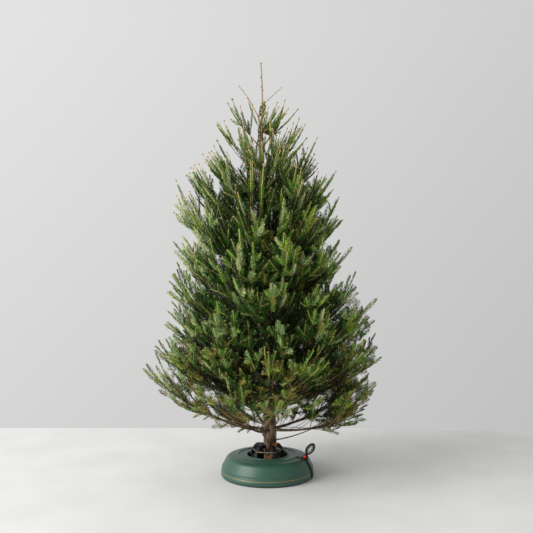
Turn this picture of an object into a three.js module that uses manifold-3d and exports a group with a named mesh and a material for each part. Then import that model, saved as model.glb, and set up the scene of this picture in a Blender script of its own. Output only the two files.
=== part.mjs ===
// A cut fir in a round foot-lever stand, about 2 m tall, as named solids in millimetres.
// +Z is up and +X is to the right. The origin is the centre of the stand's flat underside, and the foot lever
// stands out on the right, turned a little to the front, which is -Y.
import * as THREE from "three";
import { mergeVertices } from "three/addons/utils/BufferGeometryUtils.js";
import Module from "manifold-3d";

const wasm = await Module();
wasm.setup();

// ---------------------------------------------------------------- driving dimensions

const GAP = 0.3; // clear space between two pieces that meet
const SEED = 11; // another number grows another tree

const STAND = {
  radius: 230, // widest, near the floor
  rimHeight: 105, // lip round the water well
  footHeight: 5, // dark foot plate under the shell
  wall: 3,
  wellRadius: 100, // outside of the water well at its top
  wellFloor: 12,
  sides: 36,
};

const CLAW = {
  count: 5,
  turn: 10,
  width: 22,
  height: 152,
  grooveRadius: 80,
  cableHeight: 126,
  cableRadius: 2.2,
};

// The lever's hinge is on the stand's shoulder. Angles are in degrees, from +X and from level.
const PEDAL = {
  azimuth: -21,
  hingeRadius: 196,
  hingeHeight: 110,
  rise: 56,
  railWidth: 17,
  armWidth: 8,
  armThick: 9,
  pinRadius: 3,
  capRadius: 7.8,
  ringAt: 45, // from the hinge to the middle of the foot loop
  ringLong: 31,
  ringHigh: 19,
  ringWide: 20, // of the tread, along the pin
  ringWall: 9,
};

// Radius of the stem at each height: shaved butt, bole, top whorl and bare leader.
const TRUNK = {
  sides: 10,
  profile: [
    [STAND.wellFloor + GAP, 37],
    [60, 34],
    [150, 31.5],
    [420, 28.5],
    [800, 22.5],
    [1200, 16.5],
    [1560, 11.5],
    [1700, 9],
    [1800, 4.4],
    [1900, 3.2],
    [2034, 2.4],
  ],
  footX: 18.5, // the stem leans to the left as it rises, up to the top whorl
  leanPerMm: -0.0303,
  plumbFrom: 1700,
  leaderBow: 7,
};

// How far the tips of the crown reach from the stem: [height, to the left, to the right].
const CROWN = [
  [200, 200, 340],
  [270, 310, 470],
  [350, 440, 490],
  [440, 550, 535],
  [530, 615, 550],
  [650, 550, 545],
  [860, 495, 535],
  [960, 480, 425],
  [1120, 460, 420],
  [1330, 440, 370],
  [1460, 440, 345],
  [1560, 345, 300],
  [1700, 260, 230],
  [1830, 180, 120],
  [1930, 90, 50],
];

// Each tier of boughs fills the space between its own floor and the next one's. A floor is a bowl round the
// stem: it starts at height foot, climbs by slope and bends up by BOW.
const BOW = 0.00075; // per mm
const LOWEST_BOW_RIGHT = 0.00022; // the lowest boughs on the right hang lower
const TIERS = [
  { foot: 185, slope: 0.0, boughs: 5, turn: 180, twigs: 6 },
  { foot: 300, slope: 0.08, boughs: 4, turn: 4, twigs: 5 },
  { foot: 420, slope: 0.2, boughs: 4, turn: 48, twigs: 5 },
  { foot: 560, slope: 0.32, boughs: 4, turn: 2, twigs: 5 },
  { foot: 710, slope: 0.42, boughs: 4, turn: 50, twigs: 5 },
  { foot: 875, slope: 0.54, boughs: 4, turn: 12, twigs: 5 },
  { foot: 1040, slope: 0.66, boughs: 4, turn: 58, twigs: 5 },
  { foot: 1220, slope: 0.78, boughs: 3, turn: 30, twigs: 4 },
  { foot: 1390, slope: 0.9, boughs: 3, turn: 90, twigs: 4 },
  { foot: 1560, slope: 1.05, boughs: 3, turn: 35, twigs: 4 },
  { foot: 1700, slope: 1.35 }, // only the floor of the bare leader's space
];

const SPINE = {
  share: 0.36, // how high a bough lies between the two floors
  length: 0.78, // of its reach; twigs cover the rest
  limbLength: 0.42, // of its reach, where the lowest boughs are bare
  limbRadius: [8.5, 5],
  stemRadius: [6.5, 2.4],
};

const STEM_STEPS = 4; // straight steps in a mass's own stem

const SPRAY = {
  teeth: 2, // on each side of a twig
  toothShare: 0.5, // of the twig's length
  toothMost: 130,
  toothAngle: 48,
  lift: 0.2, // how far a tooth turns up
  roll: 120, // between the sprays that lean most to either side, degrees
  bare: 0.22, // of the twig, before its first tooth
  stalkWide: 3.6,
  notchWide: 20, // from the rib to the notch between two teeth
  stalkThick: 2.6,
};

const KEEP_CLEAR = { side: 3, floor: 3, roof: 10, trunk: 10, limb: 14 };

// Thin bare twigs: where each leaves the stem, its direction, how far it goes out and up, and its thickness.
const BARE_TWIGS = [
  { name: "twig_top_left", height: 1740, azimuth: 180, out: 104, up: 178, sag: -0.15, radius: [2.8, 1.3] },
  { name: "twig_top_right", height: 1828, azimuth: -8, out: 88, up: 80, sag: 0, radius: [2.0, 1.0] },
  { name: "twig_low_right", height: 172, azimuth: -14, out: 214, up: 84, sag: 0.25, radius: [3.6, 1.8] },
  { name: "twig_low_left", height: 158, azimuth: 196, out: 26, up: 84, sag: 0, radius: [4.2, 2.6] },
];

const COLOURS = {
  bark: { color: 0x6b5a4c, roughness: 0.95, metalness: 0 },
  twig: { color: 0x9a7f55, roughness: 0.9, metalness: 0 },
  needles: { color: 0x4c6b3a, roughness: 0.7, metalness: 0 },
  green: { color: 0x2f5c48, roughness: 0.4, metalness: 0 },
  black: { color: 0x17181a, roughness: 0.5, metalness: 0 },
  steel: { color: 0xb4b6b8, roughness: 0.35, metalness: 1 },
  red: { color: 0xd21f1c, roughness: 0.4, metalness: 0 },
};

// ---------------------------------------------------------------- small helpers

const { degToRad, lerp, clamp } = THREE.MathUtils;
const UP = new THREE.Vector3(0, 0, 1);

// A repeatable number from 0 to 1 for any set of whole numbers.
function chance(...keys) {
  let h = SEED;
  for (const key of keys) {
    h = Math.imul(h ^ (key + 1), 2654435761);
    h ^= h >>> 15;
  }
  h = Math.imul(h, 2246822519);
  h ^= h >>> 13;
  return (h >>> 0) / 4294967296;
}

const fraction = (x) => x - Math.floor(x);

// A row of a table, worked out for any height between its first row and its last.
function rowAt(table, height) {
  const found = table.findIndex(([z]) => z > height);
  const above = found < 0 ? table.length - 1 : Math.max(found, 1);
  const low = table[above - 1];
  const t = clamp((height - low[0]) / (table[above][0] - low[0]), 0, 1);
  return low.map((value, i) => lerp(value, table[above][i], t));
}

function solidOf(geometry) {
  const bare = geometry.clone();
  bare.deleteAttribute("normal");
  bare.deleteAttribute("uv");
  const merged = mergeVertices(bare, 1e-4);
  const mesh = new wasm.Mesh({
    numProp: 3,
    vertProperties: merged.attributes.position.array,
    triVerts: new Uint32Array(merged.index.array),
  });
  return new wasm.Manifold(mesh);
}

function geometryOf(solid) {
  const mesh = solid.getMesh();
  const positions = new Float32Array(mesh.numVert * 3);
  for (let i = 0; i < mesh.numVert; i++) {
    positions.set(mesh.vertProperties.subarray(i * mesh.numProp, i * mesh.numProp + 3), i * 3);
  }
  const geometry = new THREE.BufferGeometry();
  geometry.setAttribute("position", new THREE.BufferAttribute(positions, 3));
  geometry.setIndex(new THREE.BufferAttribute(mesh.triVerts, 1));
  return geometry;
}

const tree = new THREE.Group();

function add(name, geometry, finish) {
  const mesh = new THREE.Mesh(geometry, new THREE.MeshStandardMaterial(COLOURS[finish]));
  mesh.name = name;
  tree.add(mesh);
}

// A profile of [radius, height] points turned round Z.
function turned(profile, sides) {
  const points = profile.map(([r, z]) => new THREE.Vector2(r, z));
  return new THREE.LatheGeometry(points, sides).rotateX(Math.PI / 2);
}

// A flat outline of [out, up] points made solid across its width, then swung round Z to an azimuth.
function radialPlate(outline, width, azimuth) {
  const shape = new THREE.Shape(outline.map(([r, z]) => new THREE.Vector2(r, z)));
  return new THREE.ExtrudeGeometry(shape, { depth: width, bevelEnabled: false })
    .translate(0, 0, -width / 2)
    .rotateX(Math.PI / 2)
    .rotateZ(degToRad(azimuth));
}

// A tapering limb along a curve, with flat ends.
function limbAlong(curve, [rootRadius, tipRadius], sides, steps) {
  const geometry = new THREE.CylinderGeometry(1, 1, 1, sides, steps);
  const position = geometry.attributes.position;
  for (let i = 0; i < position.count; i++) {
    const t = clamp(position.getY(i) + 0.5, 0, 1);
    const radius = lerp(rootRadius, tipRadius, t);
    const along = curve.getTangent(t);
    const side = new THREE.Vector3().crossVectors(along, UP).normalize();
    const over = new THREE.Vector3().crossVectors(side, along);
    const p = curve.getPoint(t);
    p.addScaledVector(side, position.getX(i) * radius);
    p.addScaledVector(over, position.getZ(i) * radius);
    position.setXYZ(i, p.x, p.y, p.z);
  }
  return geometry;
}

// ---------------------------------------------------------------- stand

const rail = {
  inner: 150, // where the dark strip starts on the top of the shell
  proud: 1.5,
  deep: 3,
};

// Outside of the shell, from the floor up to the lip of the well.
const shellOutside = [
  [226, STAND.footHeight + GAP],
  [STAND.radius, 17],
  [225, 48],
  [221, 55],
  [206, 84],
  [198, 94],
  [188, 99],
  [151, 101.5],
  [147, 104.5],
  [143, 101.5],
  [110, 101.5],
  [107, STAND.rimHeight],
  [STAND.wellRadius + GAP, STAND.rimHeight],
];

function standShell() {
  const t = STAND.wall;
  const inside = [
    [STAND.wellRadius + GAP, 98],
    [150, 98],
    [186, 95.3],
    [194, 91.5],
    [219, 51],
    [STAND.radius - t, 17],
    [222.5, STAND.footHeight + GAP],
  ];
  const shell = solidOf(turned([...shellOutside, ...inside, shellOutside[0]], STAND.sides));
  const slotWidth = PEDAL.railWidth + 2 * GAP;
  const slot = [
    [rail.inner - GAP, 90],
    [rail.inner - GAP, 130],
    [260, 130],
    [260, 22 - GAP],
    [200, 22 - GAP],
  ];
  const cutter = solidOf(radialPlate(slot, slotWidth, PEDAL.azimuth));
  return geometryOf(shell.subtract(cutter));
}

function standFoot() {
  const rim = 224;
  return turned(
    [
      [0, 0],
      [rim - 2, 0],
      [rim, 2],
      [rim, STAND.footHeight],
      [0, STAND.footHeight],
    ],
    STAND.sides,
  );
}

function waterWell() {
  const floor = STAND.footHeight + GAP;
  return turned(
    [
      [0, floor],
      [86, floor],
      [STAND.wellRadius, 97],
      [STAND.wellRadius - 3, 97],
      [83, STAND.wellFloor],
      [0, STAND.wellFloor],
    ],
    28,
  );
}

// How far a claw's flat nose is from the stand's axis when it rests on the stem at this height and azimuth.
function stemReach(height, azimuth) {
  const x = trunkX(height);
  const a = degToRad(azimuth);
  const across = Math.max(Math.abs(x * Math.sin(a)) - CLAW.width / 2, 0);
  return x * Math.cos(a) + Math.sqrt(trunkRadius(height) ** 2 - across ** 2);
}

// The cable runs straight from claw to claw, so its loop has as many corners as there are claws.
function clampCable(extra) {
  const geometry = new THREE.TorusGeometry(CLAW.grooveRadius, CLAW.cableRadius + extra, 6, 4 * CLAW.count);
  const position = geometry.attributes.position;
  const half = Math.PI / CLAW.count;
  for (let i = 0; i < position.count; i++) {
    const x = position.getX(i);
    const y = position.getY(i);
    const r = Math.hypot(x, y);
    const angle = Math.atan2(y, x);
    const fromCorner = Math.abs(angle - 2 * half * Math.round(angle / (2 * half)));
    const chord = Math.cos(half) / Math.cos(half - fromCorner);
    const scale = (CLAW.grooveRadius * Math.max(chord, Math.cos(half)) + (r - CLAW.grooveRadius)) / r;
    position.setXY(i, x * scale, y * scale);
  }
  return geometry.rotateZ(degToRad(CLAW.turn)).translate(0, 0, CLAW.cableHeight);
}

// A claw hooks over from the rim of the well to the stem, and the cable lies in a groove in its back.
function claw(index) {
  const azimuth = CLAW.turn + (index * 360) / CLAW.count;
  const nose = stemReach(CLAW.height - 14, azimuth) + GAP;
  const top = CLAW.height;
  const outline = [
    [nose, top - 14],
    [nose, top - 1],
    [nose + 7, top + 4],
    [60, top + 2],
    [71, top - 10],
    [CLAW.grooveRadius, CLAW.cableHeight],
    [87, 112],
    [91, 98],
    [90, 82],
    [86, 74],
    [79, 76],
    [78, 100],
    [70, 118],
    [57, 134],
    [nose + 9, 139],
  ];
  const bar = solidOf(radialPlate(outline.reverse(), CLAW.width, azimuth));
  return geometryOf(bar.subtract(solidOf(clampCable(GAP))));
}

// Points round an oval.
function oval(halfLong, halfWide, count) {
  return Array.from({ length: count }, (_, i) => {
    const a = (2 * Math.PI * i) / count;
    return new THREE.Vector2(halfLong * Math.cos(a), halfWide * Math.sin(a));
  });
}

// Pieces of the lever are made with the hinge at the origin, X along the arm and Y along the pin.
function toHinge(geometry, rise) {
  return geometry
    .rotateY(-degToRad(rise))
    .translate(PEDAL.hingeRadius, 0, PEDAL.hingeHeight)
    .rotateZ(degToRad(PEDAL.azimuth));
}

function pinShaft(radius, length, sides) {
  return new THREE.CylinderGeometry(radius, radius, length, sides);
}

// The lever ends in an oval loop, like a stirrup, whose band is the tread.
function pedal() {
  const { ringLong, ringHigh, ringWall, ringWide } = PEDAL;
  const ring = new THREE.Shape(oval(ringLong, ringHigh, 20));
  ring.holes.push(new THREE.Path(oval(ringLong - ringWall, ringHigh - ringWall, 16).reverse()));
  const loop = new THREE.ExtrudeGeometry(ring, { depth: ringWide, bevelEnabled: false });
  loop.translate(PEDAL.ringAt, 0, -ringWide / 2).rotateX(Math.PI / 2);
  const neck = PEDAL.ringAt - ringLong + ringWall / 2;
  const arm = new THREE.BoxGeometry(neck, PEDAL.armWidth, PEDAL.armThick).translate(neck / 2, 0, 0);
  const eye = pinShaft(7, PEDAL.armWidth, 12);
  const bore = pinShaft(PEDAL.pinRadius + GAP + 0.1, PEDAL.armWidth + 4, 12);
  const made = solidOf(loop).add(solidOf(arm)).add(solidOf(eye)).subtract(solidOf(bore));
  return toHinge(geometryOf(made), PEDAL.rise);
}

function pedalPin() {
  const half = PEDAL.railWidth / 2;
  const shaft = pinShaft(PEDAL.pinRadius, PEDAL.railWidth + 2, 12);
  const cap = pinShaft(PEDAL.capRadius, 3.5, 16).translate(0, -half - GAP - 1.75, 0);
  const nut = pinShaft(5.5, 3, 6).translate(0, half + GAP + 1.5, 0);
  return toHinge(geometryOf(solidOf(shaft).add(solidOf(cap)).add(solidOf(nut))), 0);
}

// The dark strip lies in the shell's slot, over the shoulder and down the side. Its two ears carry the pin.
function pedalRail() {
  const outer = shellOutside.filter(([r, z]) => z > 22 && r > rail.inner);
  const low = outer[0];
  const skin = outer.map(([r, z], i) => {
    const [pr, pz] = outer[Math.max(i - 1, 0)];
    const [nr, nz] = outer[Math.min(i + 1, outer.length - 1)];
    const out = new THREE.Vector2(nz - pz, pr - nr).normalize();
    return { r, z, out };
  });
  const outside = skin.map(({ r, z, out }) => [r + out.x * rail.proud, z + out.y * rail.proud]);
  const inside = skin.map(({ r, z, out }) => [r - out.x * rail.deep, z - out.y * rail.deep]).reverse();
  const strip = [
    [low[0] - rail.deep, 22],
    [low[0] + rail.proud + 0.6, 22],
    ...outside,
    [rail.inner, 104],
    [rail.inner, 98.5],
    ...inside,
  ];
  const ear = [
    [182, 97],
    [206, 84],
    [207, 105],
    [204, 116],
    [197, 120],
    [189, 117],
    [182, 106],
  ];
  const solid = solidOf(radialPlate(strip, PEDAL.railWidth, PEDAL.azimuth))
    .add(solidOf(radialPlate(ear, PEDAL.railWidth, PEDAL.azimuth)));
  const mouth = [
    [184, 98.8],
    [197, 97],
    [204, 89.5],
    [225, 89.5],
    [225, 128],
    [176, 128],
    [176, 104],
  ];
  const bore = toHinge(pinShaft(PEDAL.pinRadius + GAP + 0.1, PEDAL.railWidth + 8, 12), 0);
  return geometryOf(
    solid
      .subtract(solidOf(radialPlate(mouth, PEDAL.armWidth + 1.4, PEDAL.azimuth)))
      .subtract(solidOf(bore)),
  );
}

// ---------------------------------------------------------------- stem and crown

function trunkX(height) {
  const lean = TRUNK.footX + TRUNK.leanPerMm * Math.min(height, TRUNK.plumbFrom);
  const top = TRUNK.profile.at(-1)[0];
  const leader = clamp((height - TRUNK.plumbFrom) / (top - TRUNK.plumbFrom), 0, 1);
  return lean + TRUNK.leaderBow * Math.sin(Math.PI * leader);
}

function trunkRadius(height) {
  return rowAt(TRUNK.profile, height)[1];
}

function trunk(extra) {
  const { profile, sides } = TRUNK;
  const top = profile.at(-1)[0] + extra;
  const points = profile.map(([z, r], i) => [r + extra, i ? z : z - extra]);
  points[points.length - 1][1] = top;
  const geometry = turned([[0, points[0][1]], ...points, [0, top]], sides);
  const position = geometry.attributes.position;
  for (let i = 0; i < position.count; i++) {
    position.setX(i, position.getX(i) + trunkX(position.getZ(i)));
  }
  return geometry;
}

// A point at an azimuth and a distance from the stem.
function at(azimuth, out, height) {
  const a = degToRad(azimuth);
  return new THREE.Vector3(trunkX(height) + out * Math.cos(a), out * Math.sin(a), height);
}

function aroundStem(p) {
  const x = p.x - trunkX(p.z);
  return { out: Math.hypot(x, p.y), azimuth: THREE.MathUtils.radToDeg(Math.atan2(p.y, x)) };
}

function floorHeight(tier, azimuth, out) {
  const { foot, slope } = TIERS[tier];
  const toRight = (1 + Math.cos(degToRad(azimuth))) / 2;
  const bow = tier === 0 ? lerp(BOW, LOWEST_BOW_RIGHT, toRight) : BOW;
  return foot + slope * out + bow * out * out;
}

function crownReach(azimuth, height) {
  const [, left, right] = rowAt(CROWN, height);
  return lerp(left, right, (1 + Math.cos(degToRad(azimuth))) / 2);
}

const sectorMiddle = (tier, index) => TIERS[tier].turn + (index * 360) / TIERS[tier].boughs;

// True where a point is inside the space of one mass, clear of its neighbours and the stem.
function inSpace(tier, index, p) {
  const { out, azimuth } = aroundStem(p);
  const turn = THREE.MathUtils.euclideanModulo(azimuth - sectorMiddle(tier, index) + 180, 360) - 180;
  const toSide = out * Math.sin(degToRad(180 / TIERS[tier].boughs - Math.abs(turn)));
  return (
    toSide > KEEP_CLEAR.side &&
    out > trunkRadius(p.z) + KEEP_CLEAR.trunk &&
    out < crownReach(azimuth, p.z) &&
    p.z > floorHeight(tier, azimuth, out) + KEEP_CLEAR.floor &&
    p.z < floorHeight(tier + 1, azimuth, out) - KEEP_CLEAR.roof
  );
}

// Height between the two floors of a tier, by share.
function between(tier, azimuth, out, share) {
  return lerp(floorHeight(tier, azimuth, out), floorHeight(tier + 1, azimuth, out), share);
}

// How far out the crown's surface is at this share of the height between the two floors of a tier.
function reach(tier, azimuth, share) {
  let out = 0;
  for (let step = 400; step > 1; step /= 2) {
    const further = out + step;
    if (further < crownReach(azimuth, between(tier, azimuth, further, share))) out = further;
  }
  return out;
}

// The line of a bough from the stem outwards: it climbs with its tier and wanders a little sideways.
function spinePoint(tier, index, out) {
  const swing = 10 * (chance(tier, index, 1) - 0.5);
  const azimuth = sectorMiddle(tier, index) + (swing * out) / 500;
  return at(azimuth, out, between(tier, azimuth, out, SPINE.share));
}

function spine(tier, index, from, to) {
  const points = Array.from({ length: 7 }, (_, i) => spinePoint(tier, index, lerp(from, to, i / 6)));
  return new THREE.CatmullRomCurve3(points);
}

// Where twig number j of a mass ends. The numbers spread evenly over the space however many twigs are taken.
function twigTip(tier, index, j) {
  const spin = chance(tier, index, 2);
  const across = 2 * fraction(spin + 0.8191725 * (j + 1)) - 1;
  const high = 0.1 + 0.8 * fraction(spin + 0.6710436 * (j + 1));
  const far = 0.4 + 0.6 * Math.sqrt(fraction(spin + 0.5497005 * (j + 1)));
  const half = 180 / TIERS[tier].boughs;
  const azimuth = sectorMiddle(tier, index) + across * (half - 3);
  const out = far * (reach(tier, azimuth, high) - 4);
  return at(azimuth, out, between(tier, azimuth, out, high));
}

// A twig leaves the bough at about 45 degrees, and turns up towards its tip. The bough's stem runs between
// two distances from the trunk.
function twigCurve(tier, index, j, stem, [from, to]) {
  const tip = twigTip(tier, index, j);
  const { out, azimuth } = aroundStem(tip);
  const turn = degToRad(azimuth - sectorMiddle(tier, index));
  const aside = Math.abs(out * Math.sin(turn));
  const ahead = out * Math.cos(turn);
  const firstFork = Math.max(from + 25, 60);
  const fork = clamp(ahead - 1.15 * aside - 0.12 * out, firstFork, lerp(from, to, 0.94));
  const root = onStem(stem, (fork - from) / (to - from));
  const bend = root.clone().lerp(tip, 0.58);
  bend.z = lerp(root.z, tip.z, 0.34);
  return new THREE.QuadraticBezierCurve3(root, bend, tip);
}

// A spray: a thin toothed blade along a twig, thickest on its midrib. Each tooth is one shoot of needles.
function spray(curve, teeth, roll, fits) {
  const length = curve.getLength();
  const angle = degToRad(SPRAY.toothAngle);
  const most = Math.min(SPRAY.toothMost, SPRAY.toothShare * length);
  const vertices = [];
  const faces = [];
  const put = (p) => vertices.push(p) - 1;
  const frame = (t) => {
    const along = curve.getTangent(t);
    const side = new THREE.Vector3().crossVectors(along, UP).applyAxisAngle(along, roll).normalize();
    return { p: curve.getPoint(t), along, side, over: new THREE.Vector3().crossVectors(side, along) };
  };
  const from = (f, along, aside, up) =>
    f.p.clone().addScaledVector(f.along, along).addScaledVector(f.side, aside).addScaledVector(f.over, up);

  // a tooth or notch that would leave the space is made smaller
  const largest = (place) => place([1, 0.75, 0.5, 0.25].find((share) => fits(place(share))) ?? 0.08);
  const root = put(from(frame(0), 0, 0, 0));
  const tip = put(curve.getPoint(1));
  const step = (1 - SPRAY.bare) / (teeth + 0.6);
  const rib = [];
  for (let i = 0; i <= teeth; i++) {
    const t = i === 0 ? 0.5 * SPRAY.bare : SPRAY.bare + (i - 0.5) * step;
    const thin = lerp(1, 0.55, t);
    const f = frame(t);
    rib.push({
      top: put(from(f, 0, 0, SPRAY.stalkThick * thin)),
      low: put(from(f, 0, 0, -SPRAY.stalkThick * thin)),
    });
  }
  for (const sign of [-1, 1]) {
    const skin = (a, b, c) => faces.push(sign > 0 ? [a, b, c] : [a, c, b]);
    const both = (name, a, b, c) => (name === "top" ? skin(a, b, c) : skin(a, c, b));
    let notch = put(from(frame(SPRAY.bare), 0, sign * SPRAY.stalkWide, 0));
    for (const name of ["top", "low"]) {
      both(name, rib[0][name], root, notch);
      both(name, rib[0][name], notch, rib[1][name]);
    }
    for (let i = 1; i <= teeth; i++) {
      const t = SPRAY.bare + (i - 0.3) * step;
      const f = frame(t);
      const size = most * lerp(1, 0.62, (i - 1) / teeth);
      const toothTip = (share) => {
        const long = share * size;
        return from(f, long * Math.cos(angle), sign * long * Math.sin(angle), long * SPRAY.lift);
      };
      const tooth = put(largest(toothTip));
      const nextFrame = frame(SPRAY.bare + i * step);
      const width = i < teeth ? SPRAY.notchWide : 0.6 * SPRAY.notchWide;
      const next = put(largest((share) => from(nextFrame, 0, sign * Math.max(share * width, 3), 0)));
      for (const name of ["top", "low"]) {
        both(name, rib[i][name], notch, tooth);
        both(name, rib[i][name], tooth, next);
        both(name, rib[i][name], next, i < teeth ? rib[i + 1][name] : tip);
      }
      notch = next;
    }
  }
  const geometry = new THREE.BufferGeometry().setFromPoints(vertices);
  geometry.setIndex(faces.flat());
  return { geometry, vertices };
}

// The point on the middle line of a stem, made with this many straight steps, at a share of its length.
function onStem(stem, share) {
  const points = stem.getPoints(STEM_STEPS);
  const place = clamp(share, 0, 1) * STEM_STEPS;
  const step = Math.min(Math.floor(place), STEM_STEPS - 1);
  return points[step].clone().lerp(points[step + 1], place - step);
}

function touchesLimb(vertices, limbs) {
  return limbs.some((curve) =>
    curve.getPoints(24).some((p) => vertices.some((v) => v.distanceTo(p) < KEEP_CLEAR.limb)),
  );
}

const solidTrunk = trunk(0);
const trunkAndGap = solidOf(trunk(GAP));

// One mass of foliage: a stem with twigs, each carrying a spray.
function foliage(tier, index, limbs) {
  const { twigs } = TIERS[tier];
  const bareLimb = tier === 0;
  const far = reach(tier, sectorMiddle(tier, index), SPINE.share);
  const from = bareLimb ? far * SPINE.limbLength : 0.5 * trunkRadius(TIERS[tier].foot);
  let stem = spine(tier, index, from, far * SPINE.length);
  if (bareLimb) {
    const start = stem.getPoint(0).addScaledVector(stem.getTangent(0), GAP);
    stem = new THREE.CatmullRomCurve3([start, ...stem.points.slice(1)]);
  }
  const [thick, thin] = SPINE.stemRadius;
  const scale = 0.5 + (0.5 * far) / 600;
  const rootRadius = bareLimb ? SPINE.limbRadius[1] - 0.4 : thick * scale;
  let mass = solidOf(limbAlong(stem, [rootRadius, thin * scale], 3, STEM_STEPS));

  const fits = (p) => inSpace(tier, index, p);
  const leading = new THREE.QuadraticBezierCurve3(
    onStem(stem, 0.8),
    spinePoint(tier, index, far * 0.9),
    spinePoint(tier, index, far - 5),
  );
  const curves = [leading];
  for (let j = 0; j < twigs; j++) curves.push(twigCurve(tier, index, j, stem, [from, far * SPINE.length]));
  for (const [j, curve] of curves.entries()) {
    const roll = degToRad(SPRAY.roll) * (chance(tier, index, 3, j) - 0.5);
    const { geometry, vertices } = spray(curve, SPRAY.teeth, roll, fits);
    if (!vertices.slice(1).every(fits) || touchesLimb(vertices.slice(1), limbs)) continue;
    mass = mass.add(solidOf(geometry));
  }
  return geometryOf(mass.subtract(trunkAndGap));
}

// ---------------------------------------------------------------- the whole object

add("stand_foot", standFoot(), "black");
add("stand_shell", standShell(), "green");
add("water_well", waterWell(), "green");
add("clamp_cable", clampCable(0), "steel");
for (let i = 0; i < CLAW.count; i++) add(`claw_${i + 1}`, claw(i), "black");
add("pedal_rail", pedalRail(), "black");
add("pedal", pedal(), "black");
add("pedal_pin", pedalPin(), "red");

add("trunk", solidTrunk, "bark");

const limbs = [];
for (const { name, height, azimuth, out, up, sag, radius } of BARE_TWIGS) {
  const start = 0.4 * trunkRadius(height);
  const end = trunkRadius(height) + out;
  const curve = new THREE.QuadraticBezierCurve3(
    at(azimuth, start, height),
    at(azimuth, lerp(start, end, 0.5), height + up * (0.5 - sag)),
    at(azimuth, end, height + up),
  );
  limbs.push(curve);
  add(name, geometryOf(solidOf(limbAlong(curve, radius, 4, 4)).subtract(trunkAndGap)), "twig");
}
for (let index = 0; index < TIERS[0].boughs; index++) {
  const far = reach(0, sectorMiddle(0, index), SPINE.share) * SPINE.limbLength;
  const curve = spine(0, index, 0.5 * trunkRadius(TIERS[0].foot), far);
  const limb = solidOf(limbAlong(curve, SPINE.limbRadius, 6, 4)).subtract(trunkAndGap);
  add(`bough_${index + 1}`, geometryOf(limb), "bark");
}
for (let tier = 0; tier < TIERS.length - 1; tier++) {
  for (let index = 0; index < TIERS[tier].boughs; index++) {
    add(`foliage_${tier + 1}_${index + 1}`, foliage(tier, index, limbs), "needles");
  }
}

export default tree;
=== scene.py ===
import math

import bmesh
import bpy
import numpy as np
from mathutils import Matrix, Vector, noise


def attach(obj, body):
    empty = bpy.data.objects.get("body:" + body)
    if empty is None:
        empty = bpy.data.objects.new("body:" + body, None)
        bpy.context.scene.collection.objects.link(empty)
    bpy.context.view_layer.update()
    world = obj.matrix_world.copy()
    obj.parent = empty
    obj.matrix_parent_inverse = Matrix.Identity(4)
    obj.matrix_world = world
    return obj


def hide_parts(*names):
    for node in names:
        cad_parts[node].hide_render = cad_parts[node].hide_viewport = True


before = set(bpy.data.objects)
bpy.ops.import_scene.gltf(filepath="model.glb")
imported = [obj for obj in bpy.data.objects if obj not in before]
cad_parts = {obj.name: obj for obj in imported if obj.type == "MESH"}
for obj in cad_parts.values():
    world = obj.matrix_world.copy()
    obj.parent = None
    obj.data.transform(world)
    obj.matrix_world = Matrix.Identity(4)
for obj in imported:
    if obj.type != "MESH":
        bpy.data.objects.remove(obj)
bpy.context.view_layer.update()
print("frame loaded:", len(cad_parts), "nodes")

mm = 0.001
scene = bpy.context.scene

# The camera, the light and the floor.
view = {"place": (-0.005, -3.66, 1.03), "lens": 50, "sensor": 36}
camera = bpy.data.objects.new("camera", bpy.data.cameras.new("camera"))
camera.location = view["place"]
camera.rotation_euler = (math.radians(90), 0, 0)
camera.data.lens = view["lens"]
camera.data.sensor_width = view["sensor"]
scene.collection.objects.link(camera)
scene.camera = camera
scene.view_settings.view_transform = "Standard"


# Feeds a node's inputs, each with a plain value or with another node's output.
def feed(tree, node, inputs):
    for name, value in inputs.items():
        if isinstance(value, bpy.types.NodeSocket):
            tree.links.new(value, node.inputs[name])
        else:
            node.inputs[name].default_value = value


def addNode(tree, kind, inputs, output, **settings):
    node = tree.nodes.new("ShaderNode" + kind)
    for name, value in settings.items():
        setattr(node, name, value)
    feed(tree, node, inputs)
    return node.outputs[output]


def axisOf(tree, coordinates, axis):
    place = addNode(tree, "TexCoord", {}, coordinates)
    return addNode(tree, "SeparateXYZ", {"Vector": place}, axis)


def grainOf(tree, scale, stretch, detail):
    place = addNode(tree, "TexCoord", {}, "Object")
    place = addNode(tree, "Mapping", {"Vector": place, "Scale": stretch}, "Vector")
    return addNode(tree, "TexNoise", {"Vector": place, "Scale": scale, "Detail": detail}, "Fac")


def calc(tree, operation, a, b, clamped=False):
    return addNode(tree, "Math", {0: a, 1: b}, "Value", operation=operation, use_clamp=clamped)


def blended(tree, factor, a, b):
    return addNode(tree, "Mix", {"Factor": factor, "A": a, "B": b}, "Result", data_type="RGBA")


# A colour that runs through stops of (position, colour).
def ramp(tree, factor, *stops):
    node = tree.nodes.new("ShaderNodeValToRGB")
    elements = node.color_ramp.elements
    for element, (position, colour) in zip(elements, (stops[0], stops[-1])):
        element.position = position
        element.color = (*colour, 1)
    for position, colour in stops[1:-1]:
        elements.new(position).color = (*colour, 1)
    feed(tree, node, {"Fac": factor})
    return node.outputs["Color"]


def newMaterial(name):
    material = bpy.data.materials.new(name)
    material.use_nodes = True
    return material, material.node_tree, material.node_tree.nodes["Principled BSDF"]


# A finish whose colour drifts between two tones, with a fine bump. Everything is set by plain values.
def surface(name, colour, second, roughness, scale, stretch=(1, 1, 1), bump=0.0, depth=0.001,
            metallic=0.0, specular=0.5, detail=3):
    material, tree, shader = newMaterial(name)
    grain = grainOf(tree, scale, stretch, detail)
    drift = ramp(tree, grain, (0.35, colour), (0.65, second))
    feed(tree, shader, {"Base Color": drift, "Roughness": roughness, "Metallic": metallic,
                        "Specular IOR Level": specular})
    if bump:
        relief = addNode(tree, "Bump", {"Height": grain, "Strength": bump, "Distance": depth}, "Normal")
        feed(tree, shader, {"Normal": relief})
    return material


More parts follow.
